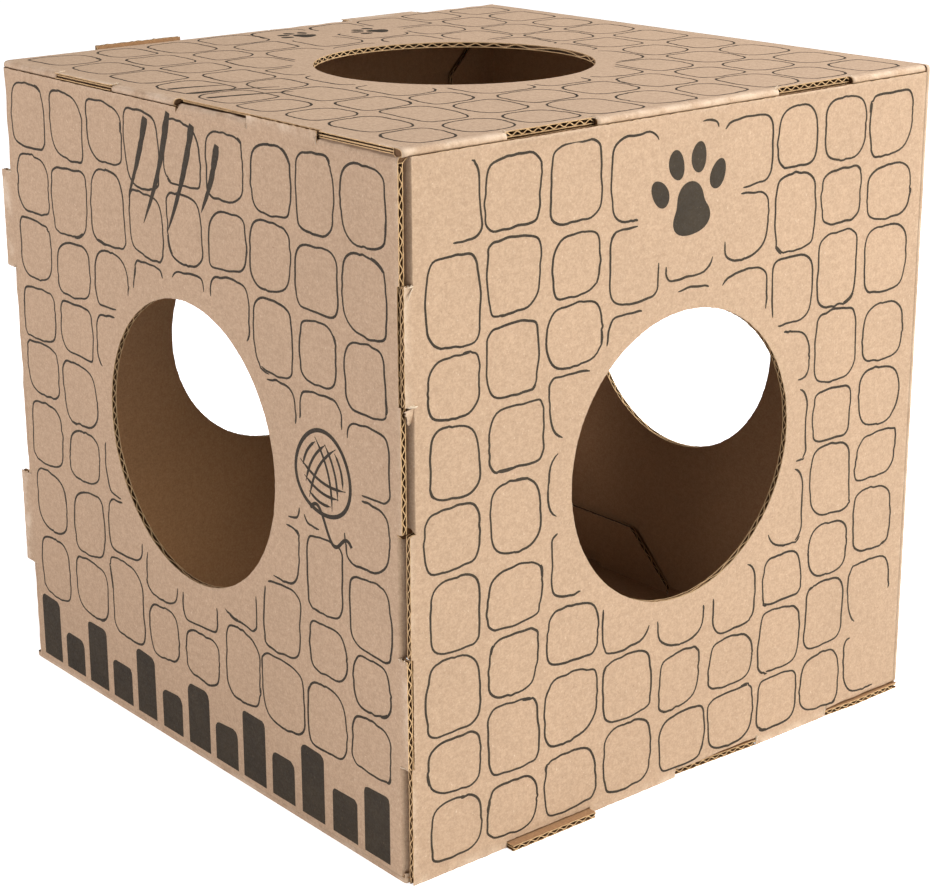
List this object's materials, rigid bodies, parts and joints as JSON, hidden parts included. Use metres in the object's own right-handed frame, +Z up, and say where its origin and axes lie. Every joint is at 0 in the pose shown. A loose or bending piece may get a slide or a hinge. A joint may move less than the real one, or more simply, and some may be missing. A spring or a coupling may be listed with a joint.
{
  "type": "cardboard cat house",
  "caption": "Corrugated cardboard cube for a cat to hide in, with a round hole in each face and interlocking flaps and teeth along its edges.",
  "frame": {"origin": "middle of the base, on the surface that the house stands on", "axes": "+X to the right seen from the front, +Y to the back, +Z up"},
  "size_m": [0.38, 0.39, 0.382],
  "materials": {
    "kraft_board": "matte brown kraft corrugated board with dark printed line work on the outside"
  },
  "bodies": {
    "house_base": {"floor": "kraft_board", "right_wall": "kraft_board"},
    "roof": {"roof": "kraft_board"},
    "front_wall": {"front_wall": "kraft_board"},
    "left_wall": {"left_wall": "kraft_board"},
    "back_wall": {"back_wall": "kraft_board"},
    "roof_front_flap": {"roof_front_flap": "kraft_board"},
    "roof_left_flap": {"roof_left_flap": "kraft_board"},
    "roof_back_flap": {"roof_back_flap": "kraft_board"},
    "front_wall_left_flap": {"front_wall_left_flap": "kraft_board"},
    "front_wall_floor_flap": {"front_wall_floor_flap": "kraft_board"},
    "right_wall_back_flap": {"right_wall_back_flap": "kraft_board"},
    "right_wall_floor_flap": {"right_wall_floor_flap": "kraft_board"},
    "left_wall_back_flap": {"left_wall_back_flap": "kraft_board"},
    "left_wall_roof_flap": {"left_wall_roof_flap": "kraft_board"},
    "left_wall_front_flap": {"left_wall_front_flap": "kraft_board"},
    "back_wall_roof_flap": {"back_wall_roof_flap": "kraft_board"},
    "back_wall_right_flap": {"back_wall_right_flap": "kraft_board"},
    "floor_front_flap": {"floor_front_flap": "kraft_board"},
    "floor_right_flap": {"floor_right_flap": "kraft_board"}
  },
  "joints": [
    {"name": "roof_fold", "type": "hinge", "parent": "house_base", "child": "roof", "pos_m": [0.18883, 0, 0.37883], "axis": [0, 1, 0], "range_deg": [0, 90]},
    {"name": "front_wall_fold", "type": "hinge", "parent": "house_base", "child": "front_wall", "pos_m": [0.18883, -0.18883, 0.19], "axis": [0, 0, 1], "range_deg": [0, 90]},
    {"name": "left_wall_fold", "type": "hinge", "parent": "house_base", "child": "left_wall", "pos_m": [-0.18883, 0, 0.00117], "axis": [0, -1, 0], "range_deg": [0, 90]},
    {"name": "back_wall_fold", "type": "hinge", "parent": "house_base", "child": "back_wall", "pos_m": [0, 0.18883, 0.00117], "axis": [-1, 0, 0], "range_deg": [0, 90]},
    {"name": "roof_front_crease", "type": "hinge", "parent": "roof", "child": "roof_front_flap", "pos_m": [0, -0.1832, 0.3768], "axis": [1, 0, 0], "range_deg": [0, 80]},
    {"name": "roof_left_crease", "type": "hinge", "parent": "roof", "child": "roof_left_flap", "pos_m": [-0.1832, 0.095, 0.3768], "axis": [0, -1, 0], "range_deg": [0, 80]},
    {"name": "roof_back_crease", "type": "hinge", "parent": "roof", "child": "roof_back_flap", "pos_m": [0.095, 0.1832, 0.3768], "axis": [-1, 0, 0], "range_deg": [0, 80]},
    {"name": "front_wall_left_crease", "type": "hinge", "parent": "front_wall", "child": "front_wall_left_flap", "pos_m": [-0.1832, -0.1868, 0.285], "axis": [0, 0, -1], "range_deg": [0, 80]},
    {"name": "front_wall_floor_crease", "type": "hinge", "parent": "front_wall", "child": "front_wall_floor_flap", "pos_m": [0.095, -0.1868, 0.0068], "axis": [1, 0, 0], "range_deg": [0, 80]},
    {"name": "right_wall_back_crease", "type": "hinge", "parent": "house_base", "child": "right_wall_back_flap", "pos_m": [0.1868, 0.1832, 0.285], "axis": [0, 0, 1], "range_deg": [0, 80]},
    {"name": "right_wall_floor_crease", "type": "hinge", "parent": "house_base", "child": "right_wall_floor_flap", "pos_m": [0.1868, -0.095, 0.0068], "axis": [0, 1, 0], "range_deg": [0, 80]},
    {"name": "left_wall_back_crease", "type": "hinge", "parent": "left_wall", "child": "left_wall_back_flap", "pos_m": [-0.1868, 0.1832, 0.19], "axis": [0, 0, -1], "range_deg": [0, 80]},
    {"name": "left_wall_roof_crease", "type": "hinge", "parent": "left_wall", "child": "left_wall_roof_flap", "pos_m": [-0.1868, -0.095, 0.3732], "axis": [0, 1, 0], "range_deg": [0, 80]},
    {"name": "left_wall_front_crease", "type": "hinge", "parent": "left_wall", "child": "left_wall_front_flap", "pos_m": [-0.1868, -0.1832, 0.095], "axis": [0, 0, 1], "range_deg": [0, 80]},
    {"name": "back_wall_roof_crease", "type": "hinge", "parent": "back_wall", "child": "back_wall_roof_flap", "pos_m": [-0.095, 0.1868, 0.3732], "axis": [1, 0, 0], "range_deg": [0, 80]},
    {"name": "back_wall_right_crease", "type": "hinge", "parent": "back_wall", "child": "back_wall_right_flap", "pos_m": [0.1832, 0.1868, 0.095], "axis": [0, 0, -1], "range_deg": [0, 80]},
    {"name": "floor_front_crease", "type": "hinge", "parent": "house_base", "child": "floor_front_flap", "pos_m": [-0.095, -0.1832, 0.0032], "axis": [-1, 0, 0], "range_deg": [0, 80]},
    {"name": "floor_right_crease", "type": "hinge", "parent": "house_base", "child": "floor_right_flap", "pos_m": [0.1832, 0.095, 0.0032], "axis": [0, -1, 0], "range_deg": [0, 80]}
  ]
}
